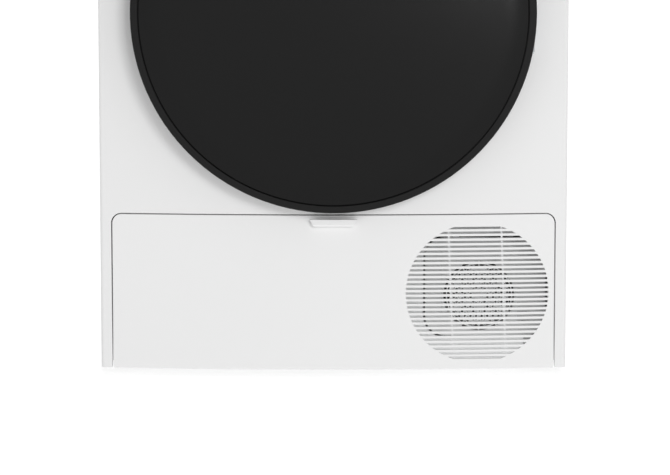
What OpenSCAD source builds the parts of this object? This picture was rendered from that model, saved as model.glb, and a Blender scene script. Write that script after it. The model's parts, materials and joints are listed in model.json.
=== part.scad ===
// Front-loading tumble dryer, heat-pump type, 600 mm wide and free-standing.
// Origin: middle of the footprint on the floor. Front faces -Y, +X to the right, +Z up.

/* [Cabinet] */
// Width over the side panels
body_w = 600; // [540:5:700]
// Height from the floor to the top of the worktop
body_h = 850; // [845:5:1000]
// Depth of the side of the cabinet, front corner to rear edge
side_d = 577; // [560:1:680]
// Plan radius of the bowed front
front_r = 3520; // [2500:10:4500]
// Clear height under the cabinet
foot_h = 10; // [8:1:15]
// Thickness of the cabinet's sheet steel
sheet_t = 1; // [0.8:0.1:1.2]
// Thickness of the worktop
top_t = 16; // [14:1:20]
// Height of the control fascia
fascia_h = 90; // [86:1:95]
// How far the sheet of the front panel returns along the sides
return_d = 15; // [12:1:18]
// Gap between cabinet panels
seam = 1.5; // [1.2:0.1:2.5]
// How far the rear air duct stands behind the cabinet
rear_proud = 28; // [26:1:36]

/* [Door] */
// Radius of the round door
door_r = 257.5; // [245:0.5:264]
// How far the door stands in front of the bowed panel
door_proud = 38; // [36:1:42]
// Width of the ring outside the groove
ring_w = 9.2; // [8:0.1:12]
// Width of the groove between the ring and the glass
groove_w = 1.3; // [1:0.1:2]
// Thickness of the door glass
glass_t = 4; // [3:0.5:5]
// Radius of the glass bowl at its rim
bowl_r = 175; // [160:1:178]
// Height of the door's centre, which is also the drum's axis
drum_z = 480; // [478:1:490]

/* [Kick panel] */
// Height of the service flap's top edge
kick_top = 212.5; // [205:0.5:216]
// Width left for each leg of the front panel, beside the flap
leg_w = 14.2; // [12:0.2:18]
// Radius of the flap's upper corners
kick_r = 12; // [8:1:16]
// Wall of the flap
kick_t = 3; // [2.5:0.5:4]
// Radius of the round grille
grille_r = 92; // [80:1:96]
// Distance of the grille's centre from the middle of the dryer
grille_x = 185.2; // [175:0.1:186]
// Number of slots in the grille
slot_n = 29; // [21:2:29]
// Height of one slot
slot_h = 3; // [2.6:0.1:3.4]
// Width of the pull tab
tab_w = 61; // [50:1:80]
// How far the pull tab stands out
tab_out = 10; // [8:1:12]

/* [Drum and drive] */
// Outer radius of the drum
drum_r = 280; // [268:1:282]
// Sheet thickness of the drum
drum_t = 1; // [0.8:0.1:1.5]
// Depth of the drum
drum_d = 458; // [440:1:460]
// Radius of the drum's rear shaft
shaft_r = 12; // [10:0.5:15]
// Clearance on every turning or sliding fit
fit = 0.05; // [0.03:0.01:0.08]
// Gap between surfaces that roll on each other
roll_gap = 0.3; // [0.3:0.05:0.5]
// Radius of the front support rollers
roller_r = 25; // [20:1:26]
// Radius of the motor pulley
pulley_r = 9; // [8:0.5:12]
// Radius of the belt tensioner's pulley
idler_r = 18; // [14:1:18]
// Width of the drum belt
belt_w = 12; // [8:1:14]

/* [Controls and tank] */
// Radius of the programme knob
knob_r = 28; // [24:1:30]
// Radius of the round push buttons
button_r = 9; // [7:0.5:11]
// Travel of a push button
button_travel = 1.5; // [1:0.1:2]
// Width of the water tank's front
tank_w = 190; // [170:1:192]
// Length of the water tank
tank_l = 430; // [380:1:432]

/* [Feet] */
// Radius of a levelling foot
foot_r = 20; // [16:1:22]
// Radius of a foot's threaded stud
stud_r = 5; // [4:0.5:6]
// How far a foot can be screwed out
foot_travel = 12; // [8:1:14]

/* [Hidden] */
$fn = 64;

// Places that follow from the sizes above
half_w = body_w / 2;
bow = front_r - sqrt(front_r * front_r - half_w * half_w);
overall_d = door_proud + bow + side_d + rear_proud;
y_door = -overall_d / 2;
y_apex = y_door + door_proud;
y_corner = y_apex + bow;
y_rear = y_corner + side_d;
y_back = y_rear + rear_proud;
z_top = body_h - top_t;
z_fascia = z_top - fascia_h;
z_panel = z_fascia - seam;
x_in = half_w - sheet_t;

// Door and its hinge
door_gap = 3;
door_back = y_apex - door_gap;
door_shell_t = 3;
glass_r = door_r - ring_w - groove_w;
hinge_x = door_r - 9;
hinge_y = y_apex - 18;
pin_r = 3.5;
knuckle_r = 7;
arm_half = 39;
lug_in = 40;
lug_out = 52;
hinge_cut = 60;
hook_w = 6;
hook_h = 20;
slot_half_w = 9;
slot_half_h = 16;

// Throat behind the door
throat_r = bowl_r + 15;
throat_t = 3;
throat_y = y_apex + 5;
mouth_r = throat_r + throat_t + 3;
hook_x = 1.75 - (mouth_r + door_r) / 2;
arm_x = bowl_r + 21.5;
plate_x = max(hinge_x - 17, mouth_r + 2);
bulk_y = y_apex + 88;
bulk_t = 3;
bulk_z0 = 182;
felt_h = 6;

// Drum
drum_y0 = bulk_y + bulk_t + 11;
drum_y1 = drum_y0 + drum_d;
drum_lip_r = drum_r - 18;
seal_r0 = drum_r - 25;
seal_r1 = drum_r - 6;
rear_in = y_rear - 2 * sheet_t;
belt_y = drum_y0 + 293;
belt_t = 1.5;
motor_x = 120;
motor_z = 105;
motor_shaft_r = 5;
rotor_r = 30;
motor_r = 52;
motor_y0 = belt_y + 20;
motor_y1 = motor_y0 + 105;
idler_x = -10;
idler_z = 162;
idler_pivot_x = 50;
idler_pivot_z = 176;
idler_pin_r = 4;
idler_plate_t = 3;
blower_r = 88;
blower_y1 = rear_in - 5;
blower_y0 = blower_y1 - 49;
roller_angle = 32;
roller_pitch = drum_r + roller_r + roll_gap;
axle_r = 6;

// Base and machinery
base_y0 = y_apex + 54;
base_y1 = rear_in - 1;
base_x = x_in - 1;
flange = 16;
screw_r = 2;
screw_x = half_w - flange / 2;
screw_z = [40, 230, 430, 630, z_top - 34];
screw_head_r = 4;
base_t = 4;
base_top = foot_h + base_t;
foot_x = half_w - 38;
foot_y0 = y_apex + 75;
foot_y1 = y_rear - 45;
face_y = base_y0 + 4;
tun_x0 = 15 - half_w;
tun_x1 = tun_x0 + 240;
tun_y0 = face_y + 1;
tun_y1 = 190;
tun_top = 150;
plenum_x0 = tun_x0 + 85;
wall = 3;
comp_x = 190;
comp_y = -60;
comp_r = 60;
fan_x = grille_x + 3.5;
fan_z = 96;
fan_open_r = 46;
fan_shaft_r = 3;
fan_motor_r = 22;
shroud_x0 = fan_x - 69.7;
shroud_x1 = fan_x + 86.3;
shroud_z0 = 43;
shroud_z1 = 173;
shroud_r = 26;
cover_gap = 2.4;
louvre_h = 1.6;
louvre_drop = 11.5;
exch_x0 = tun_x0 + 10;
exch_x1 = exch_x0 + 220;
exch_z0 = 44;
exch_z1 = 146;
pump_x = 76 - half_w;
pump_y = rear_in - 36;
gland_x = half_w - 60;
gland_r = 4;
spigot_x = 80 - half_w;
spigot_r = 8;
outlet_z = 60;

// Lint filter
filt_w = 236;
filt_t = 18;
filt_y = (face_y + bulk_y) / 2 + 0.5;
filt_z0 = 156;
duct_w = filt_w + 8;

// Kick panel
kick_bottom = 9;
kick_x = half_w - leg_w - seam;
kick_y = y_apex + 20;
kick_z = 32;
kick_lug_x = kick_x - 31.8;
kick_lug_r = 7;
kick_pin_r = 4;
grille_z = (kick_bottom + kick_top) / 2 - 0.75;
slot_pitch = 6.1;
rib_x = 34;
rib_w = 2.4;
rib_lean = 3.5;
tab_h = 13;
tab_slope = 5.5;

// Tank, tray and controls
tank_x0 = -half_w + 11;
tank_x1 = tank_x0 + tank_w;
tank_z0 = z_fascia + 18;
tank_z1 = z_fascia + 75;
tank_wall = 2.5;
tank_y0 = y_corner + 6;
tank_y1 = tank_y0 + tank_l;
tray_y1 = tank_y1 + 12;
hose_x = tank_x0 + 89;
hose_r = 6;
knob_z = z_fascia + 45;
knob_shaft_r = 5;
button_x = 60;
board_y = y_apex + 30;
switch_h = 5;
disp_x0 = 95;
disp_x1 = half_w - 25;
disp_z0 = z_fascia + 21;
disp_z1 = z_fascia + 71;
fascia_t = 3;
fascia_back = y_corner + return_d;

// Height of the bowed front's surface over the chord, at a distance x from the middle
function bow_y(x) = y_apex + front_r - sqrt(front_r * front_r - x * x);

// Solid behind the bowed front, set back by inset, from height z0 to z1 and back to y1
module bow_solid(inset, z0, z1, y1, x0, x1) {
    translate([0, 0, z0]) linear_extrude(z1 - z0) intersection() {
        translate([0, y_apex + front_r]) circle(front_r - inset, $fn = 1440);
        translate([x0, y_apex - 1]) square([x1 - x0, y1 - y_apex + 1]);
    }
}

// A sheet of thickness t that follows the bowed front
module bow_sheet(inset, t, z0, z1, x0, x1) {
    translate([0, 0, z0]) linear_extrude(z1 - z0) intersection() {
        translate([0, y_apex + front_r]) difference() {
            circle(front_r - inset, $fn = 1440);
            circle(front_r - inset - t, $fn = 1440);
        }
        translate([x0, y_apex - 1]) square([x1 - x0, 60]);
    }
}

// A drawing in the X-Z plane, extruded from y0 to y1
module along_y(y0, y1) {
    translate([0, y1, 0]) rotate([90, 0, 0]) linear_extrude(y1 - y0) children();
}

// A drawing in the Y-Z plane, extruded from x0 to x1
module along_x(x0, x1) {
    translate([x0, 0, 0]) rotate([90, 0, 90]) linear_extrude(x1 - x0) children();
}

// Round bars along Y and along X
module bar_y(r, y0, y1, x, z) {
    translate([x, y0, z]) rotate([-90, 0, 0]) cylinder(r = r, h = y1 - y0);
}
module bar_x(r, x0, x1, y, z) {
    translate([x0, y, z]) rotate([0, 90, 0]) cylinder(r = r, h = x1 - x0);
}

// A tube along Y
module tube_y(r1, r0, y0, y1, x, z) {
    difference() {
        bar_y(r1, y0, y1, x, z);
        bar_y(r0, y0 - 1, y1 + 1, x, z);
    }
}

// A box from one corner to the other
module box(x0, x1, y0, y1, z0, z1) {
    translate([x0, y0, z0]) cube([x1 - x0, y1 - y0, z1 - z0]);
}

// A rectangle with round corners, from corner (a, b) to corner (c, d)
module rounded(a, b, c, d, r) {
    translate([a + r, b]) square([c - a - 2 * r, d - b]);
    translate([a, b + r]) square([c - a, d - b - 2 * r]);
    for (x = [a + r, c - r], z = [b + r, d - r]) translate([x, z]) circle(r);
}

// The kick panel's outline, grown by g
module kick_outline(g) {
    x = kick_x + g;
    r = kick_r + g;
    translate([-x, kick_bottom - 3]) square([2 * x, kick_top + g - r - kick_bottom + 3]);
    translate([-x + r, kick_bottom - 3]) square([2 * (x - r), kick_top + g - kick_bottom + 3]);
    for (s = [-1, 1]) translate([s * (x - r), kick_top + g - r]) circle(r);
}

// Base: floor, low rim, exchanger well, foot bosses and the kick panel's hinge lugs
module base_tray() {
    color("dimgray") difference() {
        union() {
            box(-base_x, base_x, base_y0, base_y1, foot_h, base_top);
            for (s = [-1, 1]) box(s > 0 ? base_x - wall : -base_x, s > 0 ? base_x : wall - base_x,
                base_y0, base_y1, foot_h, 40);
            box(-base_x, base_x, base_y1 - wall, base_y1, foot_h, 15.5);
            box(tun_x0 - wall, tun_x1 + wall, tun_y0, tun_y1, foot_h, base_top + 8);
            for (x = [-foot_x, foot_x], y = [foot_y0, foot_y1])
                translate([x, y, foot_h]) cylinder(r = stud_r + 9, h = 26);
            for (s = [-1, 1]) {
                box(s * kick_lug_x - 4, s * kick_lug_x + 4, kick_y, base_y0 + 6, kick_z - 2, kick_z + 9);
                box(s * kick_lug_x - 4, s * kick_lug_x + 4, base_y0, base_y0 + 6, foot_h, kick_z + 9);
                bar_x(kick_lug_r, s * kick_lug_x - 4, s * kick_lug_x + 4, kick_y, kick_z);
            }
        }
        box(tun_x0, tun_x1, tun_y0 + wall, tun_y1 - wall, base_top, base_top + 9);
        for (x = [-foot_x, foot_x], y = [foot_y0, foot_y1])
            translate([x, y, foot_h - 1]) cylinder(r = stud_r + fit, h = 30);
        for (s = [-1, 1]) bar_x(kick_pin_r + fit, s * kick_lug_x - 5, s * kick_lug_x + 5, kick_y, kick_z);
    }
}

// Folded side sheet: flanges at the rear, the top and the bottom
module side_panel(s) {
    y0 = y_corner + return_d + seam / 2;
    x0 = s > 0 ? x_in : -half_w;
    f0 = s > 0 ? half_w - flange : -x_in;
    f1 = f0 + flange - sheet_t;
    color("gainsboro") difference() {
        union() {
            box(x0, x0 + sheet_t, y0, y_rear, foot_h, z_top);
            box(f0, f1, y_rear - sheet_t, y_rear, foot_h, z_top);
            box(f0, f1, y0, y_rear - sheet_t, z_top - sheet_t, z_top);
        }
        for (z = screw_z) bar_y(screw_r + 0.2, y_rear - 2, y_rear + 1, s * screw_x, z);
    }
}
module side_panel_left() { side_panel(-1); }
module side_panel_right() { side_panel(1); }

// Pressed front sheet: door mouth, notch for the service flap, side returns
module front_panel() {
    y1 = y_corner + return_d;
    color("whitesmoke") difference() {
        union() {
            difference() {
                bow_solid(0, foot_h, z_panel, y1, -half_w, half_w);
                bow_solid(sheet_t, foot_h - 1, z_panel - sheet_t, y1 + 1, -x_in, x_in);
            }
            intersection() {
                bow_solid(0, foot_h, kick_top + 30, y1, -half_w + 5, half_w - 5);
                along_y(y_apex - 2, y1) kick_outline(seam + sheet_t);
            }
        }
        along_y(y_apex - 3, y1 + 1) kick_outline(seam);
        along_y(y_apex - 2, y_corner + 2) translate([0, drum_z]) circle(mouth_r);
        along_y(y_apex - 2, y_corner + 2) translate([hook_x - slot_half_w, drum_z - slot_half_h])
            square([2 * slot_half_w, 2 * slot_half_h]);
    }
}

// Rear sheet: air windows, blower opening and the ring that carries the rear felt
module rear_panel() {
    color("lightgray") difference() {
        union() {
            box(-x_in, x_in, rear_in, rear_in + sheet_t, foot_h + 6, z_top - sheet_t);
            tube_y(seal_r1 + 2, seal_r1 + 0.8, drum_y1 + felt_h + 0.5, rear_in + 0.5, 0, drum_z);
            tube_y(seal_r1 + 2, seal_r0 - 2, drum_y1 + felt_h, drum_y1 + felt_h + 1, 0, drum_z);
        }
        for (a = [0:45:315]) along_y(rear_in - 1, y_rear) translate([0, drum_z]) rotate(a)
            translate([130, 0]) rounded(-50, -28, 50, 28, 20);
        bar_y(70, rear_in - 1, y_rear, motor_x, motor_z);
        for (z = screw_z, s = [-1, 1]) bar_y(screw_r + 0.2, rear_in - 1, y_rear, s * screw_x, z);
    }
}

// Worktop slab with its bowed front edge
module top_panel() {
    color("white") bow_solid(0, z_top, body_h, y_rear, -half_w, half_w);
}

// Air duct outside the rear sheet, from the blower up to the drum
module duct_outline(g) {
    translate([0, drum_z]) circle(200 - g);
    translate([motor_x, motor_z]) circle(95 - g);
    polygon([[-170 + g, drum_z - 100], [motor_x - 95 + g, motor_z],
        [motor_x + 95 - g, motor_z], [190 - g, drum_z - 55]]);
}
module rear_duct_cover() {
    color("silver") difference() {
        along_y(y_rear, y_back) duct_outline(0);
        along_y(y_rear - 1, y_back - 2) duct_outline(2);
    }
}

// Front of the controls: bowed plastic shell with its cut-outs
module control_fascia() {
    color("white") difference() {
        union() {
            difference() {
                bow_solid(0, z_fascia, z_top, fascia_back, -half_w, half_w);
                bow_solid(fascia_t, z_fascia + fascia_t, z_top - fascia_t, fascia_back + 1,
                    -half_w + fascia_t, half_w - fascia_t);
            }
            bar_y(9, y_apex + 1, y_apex + 20, 0, knob_z);
        }
        bar_y(knob_shaft_r + fit, y_apex - 2, board_y, 0, knob_z);
        for (s = [-1, 1]) bar_y(button_r + 0.3, y_apex - 2, board_y, s * button_x, knob_z);
        along_y(y_apex - 2, board_y) rounded(disp_x0, disp_z0, disp_x1, disp_z1, 6);
        along_y(y_apex - 2, fascia_back + 2)
            rounded(tank_x0 - 1, tank_z0 - 1, tank_x1 + 1, tank_z1 + 1, 3);
    }
}

// Dark window over the display
module display_window() {
    color("black") intersection() {
        bow_sheet(0.2, 2, disp_z0, disp_z1, disp_x0, disp_x1);
        along_y(y_apex - 2, y_corner + 20)
            rounded(disp_x0 + 0.2, disp_z0 + 0.2, disp_x1 - 0.2, disp_z1 - 0.2, 6);
    }
}

// Circuit board behind the fascia, with its chips, button switches and knob encoder
module control_board() {
    board_t = 1.6;
    y1 = board_y + board_t;
    color("darkgreen") {
        difference() {
            box(-button_x - 25, half_w - 15, board_y, y1, z_fascia + 12, z_fascia + 78);
            bar_y(knob_shaft_r + 2, board_y - 1, y1 + 1, 0, knob_z);
        }
        for (x = [110:35:250]) box(x - 8, x + 8, y1, y1 + 3.4, knob_z - 10, knob_z + 10);
        for (s = [-1, 1])
            box(s * button_x - 4, s * button_x + 4, board_y - switch_h, board_y, knob_z - 4, knob_z + 4);
    }
}

// Throat, front bulkhead, lint filter duct and roller axles: one moulding
module front_bulkhead() {
    color("lightgray") difference() {
        union() {
            box(-x_in + 1, x_in - 1, bulk_y, bulk_y + bulk_t, bulk_z0, tank_z0 - 4);
            bar_y(throat_r + throat_t, throat_y, bulk_y, 0, drum_z);
            box(-duct_w / 2 - wall, duct_w / 2 + wall, tun_y0, bulk_y, tun_top + 2, drum_z - 100);
            for (s = [-1, 1]) bar_y(axle_r, bulk_y, bulk_y + 48, s * roller_pitch * sin(roller_angle),
                drum_z - roller_pitch * cos(roller_angle));
        }
        bar_y(throat_r, throat_y - 1, bulk_y + 10, 0, drum_z);
        box(-duct_w / 2, duct_w / 2, tun_y0 + 2, bulk_y, tun_top + 5, drum_z - 99);
        box(-duct_w / 2, tun_x1 - 4, tun_y0 + 2, bulk_y, tun_top, tun_top + 6);
    }
}

// Felt rings that close the gaps in front of and behind the drum
module felt_seals() {
    color("tan") {
        tube_y(seal_r1, drum_lip_r + 1, bulk_y + bulk_t, drum_y0 - roll_gap, 0, drum_z);
        tube_y(seal_r1, seal_r0, drum_y1 + roll_gap, drum_y1 + felt_h, 0, drum_z);
    }
}

// Two metal strips that feel how damp the laundry is
module moisture_bars() {
    room = drum_lip_r - throat_r - throat_t;
    color("silver") for (k = [0, 1]) {
        z0 = drum_z - drum_lip_r + room * (0.2 + 0.3 * k);
        box(-60, 60, bulk_y + bulk_t, bulk_y + bulk_t + 3, z0, z0 + 6);
    }
}

// Bush and housing that carry the drum's rear shaft
module rear_bearing() {
    color("dimgray") {
        tube_y(26, shaft_r + fit, drum_y1 + 8, rear_in, 0, drum_z);
        for (a = [0:60:300]) translate([0, 0, drum_z]) rotate([0, a, 0]) translate([0, 0, -drum_z])
            box(-2, 2, drum_y1 + 16, rear_in, drum_z + 25, drum_z + 70);
    }
}

// Flat belt round the drum, over the motor pulley and the tensioner
module belt_outline(g) {
    hull() {
        translate([0, drum_z]) circle(drum_r + roll_gap + g, $fn = 120);
        translate([motor_x, motor_z]) circle(pulley_r + roll_gap + g, $fn = 32);
        translate([idler_x, idler_z]) circle(idler_r + roll_gap + g, $fn = 32);
    }
}
module drum_belt() {
    color("black") along_y(belt_y - belt_w / 2, belt_y + belt_w / 2) difference() {
        belt_outline(belt_t);
        belt_outline(0);
    }
}

// Motor can with its stator and a foot to the base
module motor_housing() {
    color("silver") {
        difference() {
            union() {
                bar_y(motor_r, motor_y0, motor_y1, motor_x, motor_z);
                box(motor_x - 34, motor_x + 34, motor_y0 + 15, motor_y1 - 15, base_top, motor_z - 30);
            }
            bar_y(motor_r - 3, motor_y0 + 3, motor_y1 - 3, motor_x, motor_z);
            bar_y(motor_shaft_r + fit, motor_y0 - 1, motor_y1 + 1, motor_x, motor_z);
        }
        tube_y(motor_r - 3, rotor_r + 1, motor_y0 + 20, motor_y1 - 20, motor_x, motor_z);
        along_y(motor_y0 - 3, motor_y0) polygon([[motor_x - 30, motor_z + 5],
            [motor_x - 10, motor_z + 35], [idler_pivot_x + 12, idler_pivot_z + 4],
            [idler_pivot_x, idler_pivot_z + 10], [idler_pivot_x - 10, idler_pivot_z - 8]]);
        bar_y(idler_pin_r, belt_y + 7, motor_y0 - 2, idler_pivot_x, idler_pivot_z);
    }
}

// Round blower casing with the flat duct that feeds it
module blower_housing() {
    ya = blower_y0 - 11;
    color("slategray") difference() {
        union() {
            bar_y(blower_r, blower_y0, blower_y1, motor_x, motor_z);
            box(plenum_x0, 60, tun_y1 + 4, blower_y0, base_top + 4, tun_top);
            box(55, 200, ya, blower_y0 + 5, base_top + 10, tun_top);
        }
        bar_y(blower_r - 3, blower_y0 + 3, blower_y1 - 3, motor_x, motor_z);
        box(plenum_x0 + 3, 57, tun_y1 + 3, blower_y0 - 3, base_top + 7, tun_top - 3);
        box(50, 197, ya + 3, blower_y0, base_top + 13, tun_top - 3);
        bar_y(42, blower_y0 - 1, blower_y0 + 4, motor_x, motor_z);
        bar_y(69, blower_y1 - 4, blower_y1 + 1, motor_x, motor_z);
        bar_y(7, ya - 1, ya + 4, motor_x, motor_z);
    }
}

// Evaporator and condenser: finned aluminium blocks
module heat_exchangers() {
    for (y = [[tun_y0 + 80, tun_y0 + 170], [tun_y0 + 190, tun_y0 + 310]]) color("lightsteelblue") {
        box(tun_x0 + wall + 2, tun_x1 - wall - 2, y[0] + 8, y[1] - 8, base_top + 16, tun_top - 12);
        for (k = [0:7]) box(tun_x0 + wall + 12 + 28 * k, tun_x0 + wall + 14 + 28 * k,
            y[0], y[1], base_top + 16, tun_top - 12);
    }
}

// Insulated tunnel over the heat exchangers, open at the front and the rear
module tunnel_cover() {
    color("gray") difference() {
        box(tun_x0, tun_x1, tun_y0, tun_y1, base_top + 8, tun_top);
        box(tun_x0 + wall, tun_x1 - wall, tun_y0 - 1, tun_y1 + 1, base_top + 7, tun_top - wall);
        box(-duct_w / 2, tun_x1 - 4, tun_y0 + 2, bulk_y, tun_top - 4, tun_top + 1);
    }
    color("gray") box(tun_x0, plenum_x0, tun_y1, tun_y1 + wall, base_top + 8, tun_top);
}

// Front wall of the base with its two windows
module service_bulkhead() {
    color("lightgray") difference() {
        box(-base_x + wall + 1, base_x - wall - 1, base_y0 + 0.5, face_y, base_top, bulk_z0 + 12);
        along_y(base_y0 - 1, face_y + 1)
            rounded(shroud_x0 - cover_gap, shroud_z0 - cover_gap, shroud_x1 + cover_gap,
                shroud_z1 + cover_gap, shroud_r + cover_gap);
        along_y(base_y0 - 1, face_y + 1)
            rounded(exch_x0 - 1, exch_z0 - 1, exch_x1 + 1, exch_z1 + 1, 9);
        for (s = [-1, 1]) box(s * kick_lug_x - 5, s * kick_lug_x + 5, base_y0, face_y + 1,
            base_top - 1, kick_z + 10);
    }
}

// Lid over the heat exchanger, with a raised rim and two clips
module exchanger_door() {
    color("gainsboro") {
        along_y(base_y0 + 0.5, face_y) rounded(exch_x0, exch_z0, exch_x1, exch_z1, 8);
        along_y(base_y0 - 3, base_y0 + 0.5) difference() {
            rounded(exch_x0 + 8, exch_z0 + 8, exch_x1 - 8, exch_z1 - 8, 8);
            rounded(exch_x0 + 11, exch_z0 + 11, exch_x1 - 11, exch_z1 - 11, 6);
        }
        for (x = [exch_x0 + 24, exch_x1 - 24]) {
            bar_y(11, base_y0 - 3, base_y0 + 0.5, x, 96);
            box(x - 4, x + 4, base_y0 - 7, base_y0 - 3, 80, 112);
        }
    }
}

// Sealed compressor can on three feet with rubber mounts
module compressor() {
    color("black") translate([comp_x, comp_y, 0]) {
        rotate_extrude() polygon([[0, 34], [comp_r - 10, 34], [comp_r, 44], [comp_r, 162],
            [comp_r - 8, 172], [comp_r - 26, 178], [0, 180]]);
        for (a = [0:120:240]) rotate(a) {
            translate([comp_r - 12, -12, 30]) cube([34, 24, 4]);
            translate([comp_r + 10, 0, base_top]) cylinder(r = 9, h = 30 - base_top);
        }
    }
}

// A pipe through the listed corners, with round bends
module pipe(r, p) {
    for (i = [0:len(p) - 2]) {
        d = p[i + 1] - p[i];
        translate(p[i]) rotate(d[0] != 0 ? [0, 90 * sign(d[0]), 0] : d[1] != 0 ?
            [-90 * sign(d[1]), 0, 0] : [d[2] > 0 ? 0 : 180, 0, 0]) cylinder(r = r, h = norm(d));
        if (i > 0) translate(p[i]) sphere(r);
    }
}

// Copper lines between the compressor and the two heat exchangers, with the filter drier
module refrigerant_pipes() {
    ye = tun_y0 + 125;
    yc = tun_y0 + 250;
    x1 = tun_x1 + 0.1;
    color("peru") {
        pipe(4, [[comp_x - 28, comp_y, 180.2], [comp_x - 28, comp_y, 190], [10, comp_y, 190],
            [10, yc, 190], [10, yc, 120], [x1, yc, 120]]);
        pipe(4, [[comp_x - 28, comp_y - 24, 180.2], [comp_x - 28, comp_y - 24, 190],
            [24, comp_y - 24, 190], [24, ye, 190], [24, ye, 120], [x1, ye, 120]]);
        pipe(3, [[x1, yc, 60], [-12, yc, 60], [-12, ye, 60], [x1, ye, 60]]);
        bar_y(9, (ye + yc) / 2 - 40, (ye + yc) / 2 + 40, -12, 60);
    }
}

// Service cover in front of the cooling fan: guard rings, spokes and duct
module fan_shroud() {
    color("gainsboro") {
        difference() {
            along_y(base_y0 + 0.5, face_y)
                rounded(shroud_x0, shroud_z0, shroud_x1, shroud_z1, shroud_r);
            bar_y(fan_open_r, base_y0 - 1, face_y + 1, fan_x, fan_z);
            for (k = [0:slot_n - 1]) {
                z = grille_z + (k - (slot_n - 1) / 2) * slot_pitch - louvre_drop;
                if (z > shroud_z0 + 18 && z < shroud_z1 - 14)
                    box(fan_x + fan_open_r + 4, shroud_x1 - 8, base_y0, face_y + 1,
                        z - louvre_h / 2, z + louvre_h / 2);
            }
            box(fan_x - 49.5, fan_x - 48, base_y0, base_y0 + 2, fan_z - 26, fan_z + 54);
        }
        for (x = [fan_x - 30, fan_x + 40], z = [shroud_z0 - cover_gap, shroud_z1 - 1])
            box(x - 4, x + 4, base_y0 + 2, face_y, z, z + 1 + cover_gap);
        for (r = [14:10:34]) tube_y(r + 2, r, base_y0 + 0.5, base_y0 + 2.5, fan_x, fan_z);
        intersection() {
            bar_y(fan_open_r + 1, base_y0 + 0.5, base_y0 + 2.5, fan_x, fan_z);
            for (a = [0:30:150]) translate([fan_x, 0, fan_z]) rotate([0, a, 0])
                box(-60, 60, base_y0, face_y, -1, 1);
        }
        tube_y(fan_open_r + 3, fan_open_r, face_y, face_y + 32, fan_x, fan_z);
        for (a = [90:120:330]) translate([fan_x, 0, fan_z]) rotate([0, a, 0])
            box(fan_motor_r + 1, fan_open_r + 1, face_y + 27, face_y + 32, -3, 3);
        tube_y(fan_motor_r + 4, fan_motor_r, face_y + 27, face_y + 37, fan_x, fan_z);
    }
}

// Cooling fan's motor, clamped in the shroud's spokes
module fan_motor() {
    color("black") difference() {
        bar_y(fan_motor_r, face_y + 27, face_y + 57, fan_x, fan_z);
        bar_y(fan_shaft_r + fit, face_y + 26, face_y + 45, fan_x, fan_z);
    }
}

// Axial cooling fan: hub, shaft and seven pitched blades
module cooling_fan() {
    color("dimgray") {
        bar_y(15, face_y + 4, face_y + 24, fan_x, fan_z);
        bar_y(fan_shaft_r, face_y + 20, face_y + 42, fan_x, fan_z);
        for (k = [0:6]) translate([fan_x, face_y + 14, fan_z]) rotate([0, k * 360 / 7, 0])
            translate([13, 0, 0]) rotate([35, 0, 0]) translate([0, -1, -9]) cube([fan_open_r - 17, 2, 18]);
    }
}

// Condensate pump in the rear corner of the base
module condensate_pump() {
    color("darkslategray") {
        translate([pump_x, pump_y, base_top]) cylinder(r = 20, h = 66);
        translate([pump_x, pump_y, base_top + 66]) cylinder(r = 12, h = 14);
        bar_x(hose_r, pump_x - 30, pump_x, pump_y, base_top + 56);
    }
}

// Hose from the pump up the rear corner to the tank's tray
module condensate_hose() {
    x = -x_in + 11;
    z = z_fascia + 60;
    color("ivory") pipe(hose_r, [[pump_x - 30, pump_y, base_top + 56], [x, pump_y, base_top + 56],
        [x, pump_y, 130], [x, rear_in - 12, 130], [x, rear_in - 12, z], [hose_x, rear_in - 12, z],
        [hose_x, tray_y1, z]]);
}

// Tray that the water tank slides in, fixed behind the fascia
module tank_tray() {
    z0 = tank_z0 - 4;
    color("lightgray") difference() {
        box(tank_x0 - 5, tank_x1 + 5, fascia_back, tray_y1, z0, tank_z1 - 4);
        box(tank_x0 - 2.5, tank_x1 + 2.5, fascia_back - 1, tray_y1 - 3, z0 + 2, tank_z1);
        bar_y(hose_r - 2, tray_y1 - 4, tray_y1 + 1, hose_x, tank_z1 - 15);
    }
}

// Water tank: a closed flat can with a round pouring mouth in its top
module water_tank() {
    color("lightgray") difference() {
        box(tank_x0 + 2, tank_x1 - 2, tank_y0, tank_y1, tank_z0 + 1, tank_z1 - 3);
        box(tank_x0 + 2 + tank_wall, tank_x1 - 2 - tank_wall, tank_y0 + tank_wall,
            tank_y1 - tank_wall, tank_z0 + 1 + tank_wall, tank_z1 - 3 - tank_wall);
        translate([tank_x0 + 60, tank_y0 + 60, tank_z1 - 10]) cylinder(r = 25, h = 20);
    }
}

// Drawer front of the tank, with a finger pocket under its upper edge
module tank_front() {
    xm = (tank_x0 + tank_x1) / 2;
    y1 = tank_y0;
    pocket = 45;
    color("white") difference() {
        union() {
            bow_sheet(0, 3, tank_z0, tank_z1, tank_x0, tank_x1);
            difference() {
                bow_solid(1, tank_z0, tank_z1, y1, tank_x0, tank_x1);
                box(tank_x0 + wall, tank_x1 - wall, y_apex - 5, y1 - wall, tank_z0 + wall, tank_z1 - wall);
            }
            box(xm - pocket - wall, xm + pocket + wall, bow_y(xm) + 1.5, y1, tank_z1 - 29, tank_z1 - 1);
        }
        along_y(y_apex - 1, y1 - wall) rounded(xm - pocket, tank_z1 - 26, xm + pocket, tank_z1 - 6, 8);
    }
}

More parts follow.
